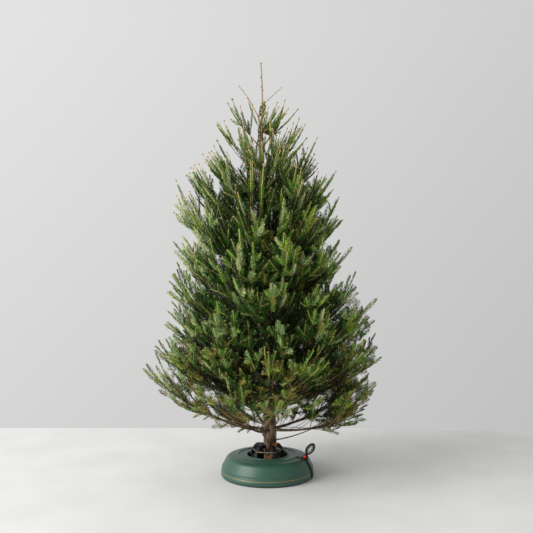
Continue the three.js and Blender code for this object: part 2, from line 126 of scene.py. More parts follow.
def areaLight(name, place, target, size, power, colour=(1, 1, 1)):
    light = bpy.data.lights.new(name, "AREA")
    light.shape = "RECTANGLE"
    light.size, light.size_y = size
    light.energy = power
    light.color = colour
    lamp = bpy.data.objects.new(name, light)
    lamp.location = place
    lamp.rotation_euler = (Vector(target) - Vector(place)).to_track_quat("-Z", "Y").to_euler()
    scene.collection.objects.link(lamp)


areaLight("key", (-6.9, -3.7, 4.7), (0, 0, 0.9), (6.0, 6.0), 800, (1, 0.99, 0.97))

# The room's own light is the pale backdrop too: darker on the right, and a little darker low down.
room = {"colour": (1, 1, 0.995, 1), "across": (-1, 1, 0.9, 0.44), "up": (-0.2, 0.3, 0.9, 1.04)}
world = bpy.data.worlds.new("studio")
world.use_nodes = True
tree = world.node_tree
parts = []
for axis, limits in (("X", room["across"]), ("Z", room["up"])):
    ends = dict(zip(("From Min", "From Max", "To Min", "To Max"), limits))
    parts.append(addNode(tree, "MapRange", {"Value": axisOf(tree, "Generated", axis), **ends}, "Result"))
feed(tree, tree.nodes["Background"], {"Color": room["colour"], "Strength": calc(tree, "MULTIPLY", *parts)})
scene.world = world


# The floor ends behind the tree, where the backdrop starts.
floor = {"backEdge": 1.06, "size": 14}
bm = bmesh.new()
bmesh.ops.create_grid(bm, x_segments=1, y_segments=1, size=floor["size"] / 2)
bmesh.ops.translate(bm, verts=bm.verts, vec=(0, floor["backEdge"] - floor["size"] / 2, 0))
mesh = bpy.data.meshes.new("floor")
bm.to_mesh(mesh)
bm.free()
mesh.materials.append(surface("pale_floor", (0.67, 0.67, 0.664), (0.72, 0.72, 0.714), 0.7, 3, bump=0.05,
                              depth=0.01))
piece = bpy.data.objects.new("floor", mesh)
scene.collection.objects.link(piece)
print("stage done")


# Makes the object, gives it its finish and its body, and says which nodes of the model it stands for.
def finished(name, mesh, materials, body="tree_and_stand", nodes=()):
    piece = bpy.data.objects.new(name, mesh)
    for material in materials:
        mesh.materials.append(material)
    scene.collection.objects.link(piece)
    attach(piece, body)
    if nodes:
        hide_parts(*nodes)
    return piece


# The same from a bmesh, shaded smooth up to an angle.
def fromBmesh(name, bm, smoothAngle, material, body="tree_and_stand", nodes=()):
    bmesh.ops.recalc_face_normals(bm, faces=bm.faces)
    mesh = bpy.data.meshes.new(name)
    bm.to_mesh(mesh)
    bm.free()
    mesh.shade_smooth()
    mesh.set_sharp_from_angle(angle=math.radians(smoothAngle))
    return finished(name, mesh, [material], body, nodes)


def bevelSharp(bm, offset, angle, segments=3):
    sharp = [e for e in bm.edges if len(e.link_faces) == 2 and e.calc_face_angle() > math.radians(angle)]
    bmesh.ops.bevel(bm, geom=sharp, offset=offset * mm, offset_type="OFFSET", segments=segments, profile=0.5,
                    affect="EDGES", clamp_overlap=True, material=-1)


# An outline of (out, up) in mm turned once round the stand's axis. An open one starts and ends on the axis.
def turned(outline, steps):
    bm = bmesh.new()
    points = [bm.verts.new((r * mm, 0, z * mm)) for r, z in outline]
    loop = points + points[:1] if outline[0][0] > 0 else points
    edges = [bm.edges.new(pair) for pair in zip(loop, loop[1:])]
    bmesh.ops.spin(bm, geom=points + edges, cent=(0, 0, 0), axis=(0, 0, 1), dvec=(0, 0, 0),
                   angle=2 * math.pi, steps=steps, use_merge=True)
    bmesh.ops.remove_doubles(bm, verts=bm.verts, dist=1e-6)
    bmesh.ops.recalc_face_normals(bm, faces=bm.faces)
    return bm


# A closed cylinder along Z, or along Y when it lies, in a bmesh and in mm.
def cylinder(bm, radius, depth, where, sides, lies=True):
    matrix = where @ Matrix.Rotation(math.radians(90), 4, "X") if lies else where
    bmesh.ops.create_cone(bm, cap_ends=True, segments=sides, radius1=radius * mm, radius2=radius * mm,
                          depth=depth * mm, matrix=matrix)


# A flat outline of (out, up) in mm made solid across its width, set aside from the middle and swung round.
def radialPlate(outline, width, azimuth, aside=0, bm=None):
    bm = bm or bmesh.new()
    face = bm.faces.new([bm.verts.new((r * mm, (aside - width / 2) * mm, z * mm)) for r, z in outline])
    made = bmesh.ops.extrude_face_region(bm, geom=[face])["geom"]
    moved = [v for v in made if isinstance(v, bmesh.types.BMVert)]
    bmesh.ops.translate(bm, verts=moved, vec=(0, width * mm, 0))
    bmesh.ops.rotate(bm, verts=[*face.verts, *moved], cent=(0, 0, 0),
                     matrix=Matrix.Rotation(math.radians(azimuth), 3, "Z"))
    bmesh.ops.recalc_face_normals(bm, faces=bm.faces)
    return bm


# The rule of the tree, the same one that the solids follow, in mm and degrees.
growth = {
    "seed": 11,
    "bow": 0.00075,
    "lowestBowRight": 0.00022,
    "spineShare": 0.36,
    "spineLength": 0.78,
    "limbLength": 0.42,
    "limbRadius": (8.5, 5),
    "stemRadius": (6.5, 2.4),
    "roll": 120,
    "clearTo": 284,
    "clearLeft": 205,
    "clearOut": 150,
    "clearFall": 0.5,
    "clearRise": 0.17,
    "lowestFull": 0.86,
    "belowFloor": 8,
    "aboveRoof": 22,
    "offStem": 8,
}

# height, radius
trunkRows = [
    (12.3, 37), (60, 34), (150, 31.5), (420, 28.5), (800, 22.5), (1200, 16.5), (1560, 11.5), (1700, 9),
    (1800, 4.4), (1900, 3.2), (2034, 2.4),
]

# height, reach to the left, reach to the right
crownRows = [
    (200, 200, 340), (270, 310, 470), (350, 440, 490), (440, 550, 535), (530, 615, 550), (650, 550, 545),
    (860, 495, 535), (960, 480, 425), (1120, 460, 420), (1330, 440, 370), (1460, 440, 345), (1560, 345, 300),
    (1700, 260, 230), (1830, 180, 120), (1930, 90, 50),
]

# foot, slope, boughs, turn, twigs on a bough
tiers = [
    (185, 0.0, 5, 180, 26), (300, 0.08, 4, 4, 32), (420, 0.2, 4, 48, 32), (560, 0.32, 4, 2, 34),
    (710, 0.42, 4, 50, 34), (875, 0.54, 4, 12, 36), (1040, 0.66, 4, 58, 42), (1220, 0.78, 3, 30, 56),
    (1390, 0.9, 3, 90, 30), (1560, 1.05, 3, 35, 19), (1700, 1.35, 0, 0, 0),
]


def chance(*keys):
    h = growth["seed"]
    for key in keys:
        h = ((h ^ (key + 1)) * 2654435761) & 0xFFFFFFFF
        h ^= h >> 15
    h = (h * 2246822519) & 0xFFFFFFFF
    h ^= h >> 13
    return h / 4294967296


def lerp(a, b, t):
    return a + (b - a) * t


def clamp(x, low, high):
    return max(low, min(high, x))


def rowAt(table, height):
    above = next((i for i, row in enumerate(table) if row[0] > height), len(table) - 1)
    above = max(above, 1)
    low, high = table[above - 1], table[above]
    t = clamp((height - low[0]) / (high[0] - low[0]), 0, 1)
    return [lerp(a, b, t) for a, b in zip(low, high)]


def trunkX(height):
    leader = clamp((height - 1700) / 334, 0, 1)
    return 18.5 - 0.0303 * min(height, 1700) + 7 * math.sin(math.pi * leader)


def trunkRadius(height):
    return rowAt(trunkRows, height)[1]


def at(azimuth, out, height):
    a = math.radians(azimuth)
    return Vector((trunkX(height) + out * math.cos(a), out * math.sin(a), height))


def aroundStem(p):
    x = p.x - trunkX(p.z)
    return math.hypot(x, p.y), math.degrees(math.atan2(p.y, x))


def toRight(azimuth):
    return (1 + math.cos(math.radians(azimuth))) / 2


def floorHeight(tier, azimuth, out):
    foot, slope = tiers[tier][:2]
    bow = lerp(growth["bow"], growth["lowestBowRight"], toRight(azimuth)) if tier == 0 else growth["bow"]
    return foot + slope * out + bow * out * out


def crownReach(azimuth, height):
    row = rowAt(crownRows, height)
    return lerp(row[1], row[2], toRight(azimuth))


def sectorMiddle(tier, index):
    return tiers[tier][3] + index * 360 / tiers[tier][2]


def between(tier, azimuth, out, share):
    return lerp(floorHeight(tier, azimuth, out), floorHeight(tier + 1, azimuth, out), share)


def reach(tier, azimuth, share):
    out, step = 0, 400
    while step > 1:
        if out + step < crownReach(azimuth, between(tier, azimuth, out + step, share)):
            out += step
        step /= 2
    return out


def spinePoint(tier, index, out):
    swing = 10 * (chance(tier, index, 1) - 0.5)
    azimuth = sectorMiddle(tier, index) + swing * out / 500
    return at(azimuth, out, between(tier, azimuth, out, growth["spineShare"]))


def fraction(x):
    return x - math.floor(x)


# The source's twigs end in the outer part of the space. The inner ones are short and lie nearer the stem.
def twigTip(tier, index, j, inner):
    spin = chance(tier, index, 2)
    across = 2 * fraction(spin + 0.8191725 * (j + 1)) - 1
    high = 0.1 + 0.8 * fraction(spin + 0.6710436 * (j + 1))
    spread = math.sqrt(fraction(spin + 0.5497005 * (j + 1)))
    # the top is open, so fewer twigs go far out, and the skirt is dense at its rim
    if j > 5:
        spread = spread ** (1.5 if tier > 7 else 0.7 if tier < 4 else 1)
    far = 0.16 + 0.34 * spread if inner else 0.4 + 0.6 * spread
    azimuth = sectorMiddle(tier, index) + across * (180 / tiers[tier][2] - 3)
    out = far * (reach(tier, azimuth, high) - 4)
    return at(azimuth, out, between(tier, azimuth, out, high))


def bezier(a, b, c, t):
    return a * (1 - t) ** 2 + b * 2 * t * (1 - t) + c * t * t


# The three points of a twig, which leaves its bough at about 45 degrees and turns up towards its tip.
def twigPoints(tier, index, onStem, start, end, tip):
    out, azimuth = aroundStem(tip)
    turn = math.radians(azimuth - sectorMiddle(tier, index))
    aside, ahead = abs(out * math.sin(turn)), out * math.cos(turn)
    firstFork = max(start + 25, 60) if ahead > start + 60 else 60
    fork = clamp(ahead - 1.15 * aside - 0.12 * out, firstFork, max(firstFork, lerp(start, end, 0.94)))
    root = onStem((fork - start) / (end - start))
    bend = Vector((lerp(root.x, tip.x, 0.58), lerp(root.y, tip.y, 0.58), lerp(root.z, tip.z, 0.34)))
    return root, bend, tip


# A shoot is one year's wood: three points, the way its upper side faces, its age in years, a number dealt to
# it by chance, its depth inside the crown, and whether it lies on a twig.
shoots = {tier: [] for tier in range(len(tiers) - 1)}
twigTubes = []  # (points, radii)
shootRule = {
    "long": (54, 138),  # a year's wood, low in the tree and high in it
    "angle": (50, 36),
    "lift": (0.2, 0.5),
    "rise": (0.16, 0.4),
    "skip": (0.37, 0.4),
    "side": 0.8,
    "shorter": (1, 0.78, 0.55),  # tried in turn where a shoot would leave its space
    "mostYears": 3,
}
twigRule = {
    "share": (0.96, 0.74),  # of the crown's reach, for most side shoots
    "leftLess": 0.14,
    "leafy": 0.86,
    "mostYears": 5,
    "radii": (3.0, 1.1),
    "fullLength": 400,
    "leftThinned": 0.6,
}
upwards = Vector((0, 0, 1))


# Gaps that stay open right through the crown: middle across and up, half width and half height.
gaps = [
    (-140, 1515, 36, 95), (-60, 1700, 22, 60), (78, 1745, 20, 55), (-245, 1420, 30, 50), (-254, 1588, 50, 52),
    (-330, 1520, 46, 34), (-338, 1375, 40, 26), (-436, 1168, 36, 22), (-430, 408, 32, 12),
    (-365, 384, 34, 13), (-295, 356, 34, 14), (-222, 334, 30, 13), (-150, 318, 28, 13), (-92, 300, 22, 12),
    (126, 290, 26, 14), (270, 316, 30, 11), (400, 330, 30, 11), (470, 428, 20, 12),
]


def inGap(p):
    return any(((p.x - x) / wide) ** 2 + ((p.z - z) / high) ** 2 < 1 for x, z, wide, high in gaps)


# The foot of the stem stands free of foliage, most of all in front.
def lowestFoliage(azimuth, out):
    front = clamp((-math.sin(math.radians(azimuth)) - 0.15) / 0.4, 0, 1)
    clearTo = lerp(growth["clearLeft"], growth["clearTo"], clamp(toRight(azimuth) * 2, 0, 1))
    atSides = clearTo - growth["clearFall"] * max(out - growth["clearOut"], 0)
    return lerp(atSides, growth["clearTo"] + growth["clearRise"] * out, front)


def fits(tier, p, share):
    out, azimuth = aroundStem(p)
    low, high = floorHeight(tier, azimuth, out), floorHeight(tier + 1, azimuth, out)
    if tier == 0:
        high = lerp(low, high, growth["lowestFull"])
    return (
        not inGap(p)
        and max(low - growth["belowFloor"], lowestFoliage(azimuth, out)) < p.z < high + growth["aboveRoof"]
        and trunkRadius(p.z) + growth["offStem"] < out < crownReach(azimuth, p.z) * share
    )


# A pair of values, for the short shoots low in the tree and the long ones high in it, is worked out for a
# place. The right side keeps its short shoots up to a greater height.
change = {"from": 300, "over": 1400, "power": 1.3, "sideFrom": 1150, "sideOver": 300, "across": 250,
          "share": 0.5}


def byPlace(pair, p):
    t = clamp((p.z - change["from"]) / change["over"], 0, 1) ** change["power"]
    side = clamp((p.z - change["sideFrom"]) / change["sideOver"] - p.x / change["across"], 0, 1)
    return lerp(*pair, t * lerp(change["share"], 1, side))


def turnedBy(v, axis, degrees):
    return Matrix.Rotation(math.radians(degrees), 3, axis) @ v


class Dice:
    def __init__(self, *keys):
        self.keys = keys
        self.count = 0

    def roll(self, low=0.0, high=1.0):
        self.count += 1
        return lerp(low, high, chance(*self.keys, self.count))


def addShoot(tier, a, b, c, over, age, dice, onTwig=False):
    out, azimuth = aroundStem(c)
    depth = crownReach(azimuth, c.z) - out
    shoots[tier].append((a, b, c, over, age, dice.roll(), depth, onTwig))


# One axis of the spray and, at the end of each year's wood, a pair of side axes that are a year younger.
def growAxis(tier, start, along, over, years, step, share, dice):
    for year in range(years):
        age = years - 1 - year
        length = step * dice.roll(0.82, 1.12)
        rise = (along + upwards * byPlace(shootRule["rise"], start)).normalized()
        ends = (start + (along + rise) * 0.5 * length * s for s in shootRule["shorter"])
        end = next((e for e in ends if fits(tier, e, share)), None)
        if end is None:
            return
        middle = start + along * (end - start).length * 0.5
        addShoot(tier, start, middle, end, over, age, dice)
        if age:
            for sign in (-1, 1):
                if dice.roll() < byPlace(shootRule["skip"], end):
                    continue
                angle = sign * byPlace(shootRule["angle"], end) * dice.roll(0.8, 1.15)
                way = turnedBy(rise, over, angle) + over * byPlace(shootRule["lift"], end)
                growAxis(tier, end, way.normalized(), over, age, step * shootRule["side"], share, dice)
        along = rise
        over = (over - along * over.dot(along)).normalized()
        start = end


# A twig with its end shoot, and pairs of side axes at each year's node, the oldest nearest the root.
def growTwig(tier, index, j, points, roll):
    root, bend, tip = points
    dice = Dice(tier, index, 40 + j)
    # high up and on the left, few side shoots reach the edge
    share = byPlace(twigRule["share"], tip) - twigRule["leftLess"] * (1 - toRight(aroundStem(tip)[1]))
    share = lerp(share, 1.0, dice.roll() ** 2)
    length = (bend - root).length * 0.5 + (tip - bend).length * 0.5 + (tip - root).length * 0.5
    step = byPlace(shootRule["long"], tip) * dice.roll(0.88, 1.12)
    count = max(1, min(twigRule["mostYears"], int(length * twigRule["leafy"] / step)))
    part = min(step / length, 0.9)
    marks = [1 - part * k for k in range(count + 1)]
    leafyTo = 0
    for k in range(count):
        t0, t1 = max(marks[k + 1], 0.04), marks[k]
        a, c = bezier(*points, t0), bezier(*points, t1)
        along = (bezier(*points, t1) - bezier(*points, t1 - 0.04)).normalized()
        side = along.cross(upwards).normalized()
        side = turnedBy(side, along, roll)
        over = side.cross(along)
        middle = bezier(*points, (t0 + t1) / 2)
        out, azimuth = aroundStem(c)
        if c.z < lowestFoliage(azimuth, out) or inGap(middle):
            continue
        addShoot(tier, a, middle * 2 - (a + c) / 2, c, over, k, dice, onTwig=True)
        leafyTo = max(leafyTo, t1)
        if k == 0:
            continue
        for sign in (-1, 1):
            if dice.roll() < byPlace(shootRule["skip"], c):
                continue
            angle = sign * byPlace(shootRule["angle"], c) * dice.roll(0.85, 1.15)
            way = turnedBy(along, over, angle) + over * byPlace(shootRule["lift"], c)
            years = min(k, shootRule["mostYears"])
            growAxis(tier, c, way.normalized(), over, years, step * shootRule["side"], share, dice)
    # its wood goes no further than its needles
    if leafyTo:
        thick, thin = twigRule["radii"]
        thick *= clamp(length / twigRule["fullLength"], 0.5, 1)
        steps = [leafyTo * i / 5 for i in range(6)]
        twigTubes.append(([bezier(*points, t) for t in steps], [lerp(thick, thin, t) for t in steps]))


# Twigs that hang from the lowest boughs, and the longest ones, which stand out of the crown: azimuth, height
# and distance out of each tip.
farTwigs = [
    (176, 212, 110), (190, 218, 155), (168, 226, 195), (184, 236, 240), (194, 250, 285), (172, 266, 325),
    (182, 288, 372), (199, 222, 120), (-14, 208, 325), (-22, 226, 292), (-6, 236, 262), (6, 238, 350),
    (-10, 262, 415), (14, 250, 300), (-2, 300, 455), (10, 470, 510), (-8, 440, 500), (1, 455, 528),
    (20, 450, 488), (205, 214, 150), (198, 208, 90), (160, 218, 140), (-4, 205, 335), (12, 206, 312),
    (20, 215, 335), (4, 222, 300), (-30, 1792, 146), (20, 1782, 162), (-20, 1745, 194), (30, 1728, 200),
    (-42, 1762, 158), (42, 1800, 126), (4, 866, 552), (-14, 596, 556), (8, 640, 530), (-6, 352, 478),
    (12, 480, 520), (184, 528, 612), (172, 590, 572), (188, 668, 530), (177, 740, 505), (183, 900, 482),
    (170, 1046, 450), (186, 1104, 440), (178, 1455, 428), (190, 1370, 425), (181, 1618, 300),
    (172, 1738, 214), (186, 1850, 148), (2, 1500, 366), (-10, 1365, 375), (6, 1262, 395), (-4, 1660, 276),
    (9, 1735, 220), (-12, 1795, 176), (3, 1850, 112), (-8, 1120, 428), (5, 1000, 455),
]
farTips = [at(azimuth, out, height) for azimuth, height, out in farTwigs]


# The tier and sector that a point belongs to.
def spaceOf(p):
    out, azimuth = aroundStem(p)
    tier = max([t for t in range(len(tiers) - 1) if floorHeight(t, azimuth, out) < p.z], default=0)
    width = 360 / tiers[tier][2]
    return tier, round((azimuth - tiers[tier][3]) / width) % tiers[tier][2]


stemTubes = []
for tier in range(len(tiers) - 1):
    for index in range(tiers[tier][2]):
        far = reach(tier, sectorMiddle(tier, index), growth["spineShare"])
        start = far * growth["limbLength"] if tier == 0 else 0.5 * trunkRadius(tiers[tier][0])
        end = far * growth["spineLength"]
        onStem = lambda share: spinePoint(tier, index, lerp(start, end, min(share, 1)))
        thick, thin = (r * (0.5 + 0.5 * far / 600) for r in growth["stemRadius"])
        if tier == 0:
            thick = growth["limbRadius"][1]
        steps = [i / 10 for i in range(11)]
        stemTubes.append(([onStem(t) for t in steps], [lerp(thick, thin, t) for t in steps]))
        leading = (onStem(0.8), spinePoint(tier, index, far * 0.9), spinePoint(tier, index, far - 5))
        outerTwigs = tiers[tier][4]
        innerQuarters = 2 if tier < 4 else 3 if tier < 8 else 1
        count = outerTwigs + outerTwigs * innerQuarters // 4
        tips = [twigTip(tier, index, j, j >= outerTwigs) for j in range(count)]
        farOnes = [tip for tip in farTips if spaceOf(tip) == (tier, index)]
        lines = [leading] + [twigPoints(tier, index, onStem, start, end, tip) for tip in tips + farOnes]
        for j, line in enumerate(lines):
            # the crown is thin on the left near its top
            left = 1 - toRight(aroundStem(line[2])[1])
            thinned = left * twigRule["leftThinned"] > chance(tier, index, 4, j)
            if tier > 7 and 4 < j <= len(tips) and thinned:
                continue
            growTwig(tier, index, j, line, growth["roll"] * (chance(tier, index, 3, j) - 0.5))

# short shoots that stand close round the top of the stem
collar = {"from": 1650, "to": 1812, "step": 10, "turn": 137.5, "long": 30}
topTier = len(tiers) - 2
for i, height in enumerate(range(collar["from"], collar["to"], collar["step"])):
    a = collar["turn"] * i
    dice = Dice(topTier, 90, i)
    root = at(a, trunkRadius(height) * 0.8, height)
    long = collar["long"] * dice.roll(0.6, 1.1)
    middle = at(a, trunkRadius(height) + long * 0.3, height + long * 0.35)
    end = at(a, long * 0.5, height + long)
    over = (end - root).cross(upwards).cross(end - root).normalized()
    addShoot(topTier, root, middle, end, over, 0, dice)
allShoots = [shoot for group in shoots.values() for shoot in group]
print("grown:", len(allShoots), "shoots,", len(twigTubes), "twigs")


def unit(v):
    return v / np.maximum(np.linalg.norm(v, axis=-1, keepdims=True), 1e-9)


def arrayMesh(name, points, triangles, tones):
    mesh = bpy.data.meshes.new(name)
    mesh.vertices.add(len(points))
    mesh.vertices.foreach_set("co", np.ascontiguousarray(points * mm, dtype=np.float32).ravel())
    mesh.loops.add(triangles.size)
    mesh.loops.foreach_set("vertex_index", triangles.astype(np.int32).ravel())
    mesh.polygons.add(len(triangles))
    mesh.polygons.foreach_set("loop_start", np.arange(0, triangles.size, 3, dtype=np.int32))
    mesh.polygons.foreach_set("material_index", tones.astype(np.int32))
    mesh.update(calc_edges=True)
    return mesh


needleRule = {
    "perMm": (0.7, 0.48, 0.32, 0.24, 0.2),  # by the shoot's age, near the crown's surface
    "perMmDeep": (0.42, 0.36, 0.3, 0.26, 0.2),  # inside, where fewer and wider ones do
    "deepFrom": 110,
    "length": 19,
    "topLength": 0.74,
    "halfWide": 1.6,
    "deepWide": 2.4,
    "bareTip": (0.97, 0.8),  # how far along a shoot its needles go, low in the tree and high in it
    "lean": (-8, 48),  # below and above the shoot's own plane: its underside stays open
    "forward": (64, 36),
    "forwardTop": (46, 22),  # high in the tree the needles lie closer to the shoot
    "uneven": 30,
    "twist": 70,
    "fold": 0.4,
    "offWood": 0.6,
    "bareFrom": 1000,
    "bareOver": 500,
    "topFrom": 1250,
    "topOver": 350,
}

# deep and shade are painted shade for shoots inside the crown; silver is partly painted highlight
needleTones = {
    "silver_and_painted_highlight": ((0.22, 0.33, 0.13), (0.57, 0.7, 0.34)),
    "blue_green": ((0.075, 0.19, 0.038), (0.3, 0.51, 0.16)),
    "green": ((0.038, 0.138, 0.007), (0.19, 0.43, 0.034)),
    "deep": ((0.012, 0.052, 0.003), (0.055, 0.16, 0.01)),
    "shade": ((0.006, 0.018, 0.002), (0.022, 0.052, 0.005)),
    "yellow_green": ((0.15, 0.27, 0.01), (0.44, 0.62, 0.05)),
    "olive": ((0.12, 0.13, 0.014), (0.33, 0.32, 0.05)),
    "brown": ((0.08, 0.05, 0.012), (0.25, 0.16, 0.04)),
}
toneNames = list(needleTones)
needleMaterials = [
    surface("needles_" + name, *tones, roughness=0.42, scale=150, specular=0.22, detail=1)
    for name, tones in needleTones.items()
]


# Which tone a shoot has: silvery on the left and in front, which is partly the needles' bloom and partly
# painted highlight on the lit side, fresh yellow on the right, olive and brown low down, and darker tones as
# painted shade deep inside the crown, on older shoots and towards the right. Depths are in mm, and heights
# are shares of the tree's.
toneRule = {"shadeFrom": 170, "deepFrom": 95, "oldShadeTo": 1500, "lowTo": 0.4, "lowOver": 0.25,
            "silverTo": 0.68, "silverOver": 0.1, "yellowAt": 0.5, "yellowOver": 0.14, "treeHeight": 2000}


def toneOf(shoot):
    _, _, c, _, age, luck, depth, _ = shoot
    right = math.cos(math.radians(aroundStem(c)[1]))
    height = c.z / toneRule["treeHeight"]
    low = clamp((toneRule["lowTo"] - height) / toneRule["lowOver"], 0, 1)
    # painted shade: shoots deep inside the crown, and older ones below the top, take the near-black shade
    # tone, and the next layer in takes the deep tone; brown and olive stay the needles' own colour low down
    if depth > toneRule["shadeFrom"] or age >= 2 and c.z < toneRule["oldShadeTo"]:
        return "shade" if luck > 0.3 * low else "brown"
    if depth > toneRule["deepFrom"]:
        return "deep" if luck > 0.5 * low + 0.05 else "olive"
    # painted light and shade: young shoots near the crown's surface get more of the bright silver and yellow
    # tones, and inner ones and those on the right get more of the deep tone
    outer = clamp(1.25 - depth / toneRule["deepFrom"], 0, 1) * (1 if age == 0 else 0.4)
    top = clamp((height - toneRule["silverTo"]) / toneRule["silverOver"], 0, 1)
    sunny = max(right, 0) * clamp(1 - abs(height - toneRule["yellowAt"]) / toneRule["yellowOver"], 0, 1)
    weights = {
        # painted highlight: the silver tone leans to the lit left side and to the young shoots near the
        # crown's surface
        "silver_and_painted_highlight": max(0.4 - 0.62 * right, 0) * outer * (1 - low * 0.9) * (1 - 0.35 * top),
        "blue_green": (0.5 - 0.35 * right) * (1 - 0.7 * low),
        "green": 0.7 + 0.25 * right - 0.3 * low,
        "deep": 0.1 + 0.25 * max(right, 0) + 0.8 * (1 - outer),
        "yellow_green": (0.13 + 0.05 * right + 1.2 * sunny + 0.1 * low) * outer,
        "olive": 0.05 + 0.75 * low,
        "brown": 0.01 + 0.3 * low,
    }
    pick = luck * sum(weights.values())
    for name, weight in weights.items():
        pick -= weight
        if pick <= 0:
            return name
    return "green"


def needlesOf(tier):
    group = shoots[tier]
    a, b, c, over = (np.array([tuple(s[i]) for s in group]) for i in range(4))
    age = np.array([s[4] for s in group])
    tone = np.array([toneNames.index(toneOf(s)) for s in group])
    span = np.linalg.norm(c - a, axis=1)
    deep = np.array([s[6] for s in group]) > needleRule["deepFrom"]
    perMm = np.where(deep, np.array(needleRule["perMmDeep"])[age], np.array(needleRule["perMm"])[age])
    count = np.maximum((span * perMm).astype(int), 5)
    which = np.repeat(np.arange(len(group)), count)
    order = np.arange(len(which)) - np.repeat(np.cumsum(count) - count, count)
    dice = np.random.default_rng(growth["seed"] + tier)
    loose = dice.random((6, len(which)))

    s = (order + loose[0]) / count[which]
    a, b, c, over = a[which], b[which], c[which], over[which]
    young = (age[which] == 0) & ~deep[which]
    bareHigh = np.clip((c[:, 2] - needleRule["bareFrom"]) / needleRule["bareOver"], 0, 1)
    last = np.where(young, lerp(*needleRule["bareTip"], bareHigh), 1)
    s = (0.05 + (last - 0.05) * s)[:, None]
    p = a * (1 - s) ** 2 + 2 * b * s * (1 - s) + c * s * s
    along = unit((b - a) * (1 - s) + (c - b) * s)
    side = unit(np.cross(along, over))
    top = np.cross(side, along)
    rank = np.where(order % 2 == 0, 1, -1)[:, None]
    lean = np.radians(lerp(*needleRule["lean"], loose[1] ** 0.85))[:, None]
    outward = side * rank * np.cos(lean) + top * np.sin(lean)
    high = np.clip((p[:, 2] - needleRule["topFrom"]) / needleRule["topOver"], 0, 1)
    atRoot = lerp(needleRule["forward"][0], needleRule["forwardTop"][0], high)
    atTip = lerp(needleRule["forward"][1], needleRule["forwardTop"][1], high)
    forward = np.radians(lerp(atRoot, atTip, s[:, 0]) + needleRule["uneven"] * (loose[2] - 0.5))[:, None]
    way = unit(along * np.cos(forward) + outward * np.sin(forward))
    size = needleRule["length"] * (0.74 + 0.3 * np.sin(np.pi * np.minimum(s[:, 0] * 0.9 + 0.12, 1)))
    size = (size * (0.85 + 0.3 * loose[3]) * lerp(1, needleRule["topLength"], high))[:, None]
    wide = unit(np.cross(way, outward))
    twist = np.radians(needleRule["twist"] * (loose[4] - 0.5))[:, None]
    wide = wide * np.cos(twist) + np.cross(way, wide) * np.sin(twist)
    facing = np.cross(wide, way)
    root = p + outward * needleRule["offWood"]
    half = np.where(deep[which], needleRule["deepWide"], needleRule["halfWide"])[:, None]
    half = half * (0.85 + 0.3 * loose[5])[:, None]
    middle = root + way * size * 0.42 + facing * half * needleRule["fold"]
    tip = root + way * size - facing * size * 0.04
    points = np.stack([root, middle + wide * half, tip, middle - wide * half], axis=1).reshape(-1, 3)
    first = np.arange(len(which))[:, None] * 4
    faces = np.concatenate([first + [0, 1, 2], first + [0, 2, 3]], axis=1).reshape(-1, 3)
    return arrayMesh(f"needles_{tier + 1}", points, faces, np.repeat(tone[which], 2))


# A piece of wood: tubes with a given number of sides, closed at both ends, along rows of points, radii and
# tone that all have the same number of points.
def tubes(name, rows, sides):
    lines = np.array([[tuple(p) for p in row[0]] for row in rows], float)
    radii = np.array([row[1] for row in rows], float)
    count, steps = lines.shape[:2]
    along = unit(np.gradient(lines, axis=1))
    side = unit(np.cross(along, np.broadcast_to([0.03, 0.02, 1.0], along.shape)))
    over = np.cross(side, along)
    turn = np.arange(sides) * 2 * math.pi / sides
    ring = side[:, :, None] * np.cos(turn)[:, None] + over[:, :, None] * np.sin(turn)[:, None]
    points = lines[:, :, None] + ring * radii[:, :, None, None]
    number = np.arange(count * steps * sides).reshape(count, steps, sides)
    near, far = number[:, :-1], number[:, 1:]
    nearNext, farNext = np.roll(near, -1, axis=2), np.roll(far, -1, axis=2)
    walls = np.stack([near, far, farNext, near, farNext, nearNext], axis=-1).reshape(count, -1, 3)
    fan = np.array([(0, i, i + 1) for i in range(1, sides - 1)])
    root, tip = number[:, 0][:, fan], number[:, -1][:, fan[:, ::-1]]
    faces = np.concatenate([walls, root, tip], axis=1)
    tones = np.repeat(np.array([row[2] for row in rows]), faces.shape[1])
    mesh = arrayMesh(name, points.reshape(-1, 3), faces.reshape(-1, 3), tones)
    finished(name, mesh, list(woodTones.values()))
    print(name, len(mesh.polygons))


for tier in shoots:
    mesh = needlesOf(tier)
    masses = [f"foliage_{tier + 1}_{index + 1}" for index in range(tiers[tier][2])]
    finished(f"needles_{tier + 1}", mesh, needleMaterials, nodes=masses)
    print("needles", tier + 1, len(mesh.polygons))

woodTones = {
    "young": surface("wood_young", (0.5, 0.36, 0.13), (0.68, 0.52, 0.22), 0.6, 60, specular=0.3),
    "grey": surface("wood_grey", (0.2, 0.14, 0.07), (0.32, 0.23, 0.12), 0.75, 60, specular=0.2),
    "dark": surface("wood_dark", (0.035, 0.025, 0.017), (0.06, 0.043, 0.03), 0.85, 60, specular=0.15),
}
# a shoot's wood: its radius low in the tree and high in it, deep inside, and more for each year, and the
# depth from which it takes the dark tone as painted shade
shootWood = {"radius": (1.2, 2.1), "deepRadius": 0.9, "deepFrom": 90, "perYear": 0.3, "paintedShadeFrom": 130}
rows = []
for a, b, c, over, age, luck, depth, onTwig in allShoots:
    if onTwig and age > 1:
        continue  # older wood is the twig's own
    thick = byPlace(shootWood["radius"], c) if depth < shootWood["deepFrom"] else shootWood["deepRadius"]
    thick += shootWood["perYear"] * min(age, 3)
    # painted shade: deep inside the crown a shoot's wood takes the dark tone
    tone = 2 if depth > shootWood["paintedShadeFrom"] else min(age if luck < 0.8 else age + 1, 2)
    rows.append(((a, bezier(a, b, c, 0.5), c), (thick + 0.15, thick, thick * 0.82), tone))
tubes("shoot_wood", rows, 3)
tubes("twig_wood", [(line, r, 1 if i % 3 else 2) for i, (line, r) in enumerate(twigTubes)], 3)
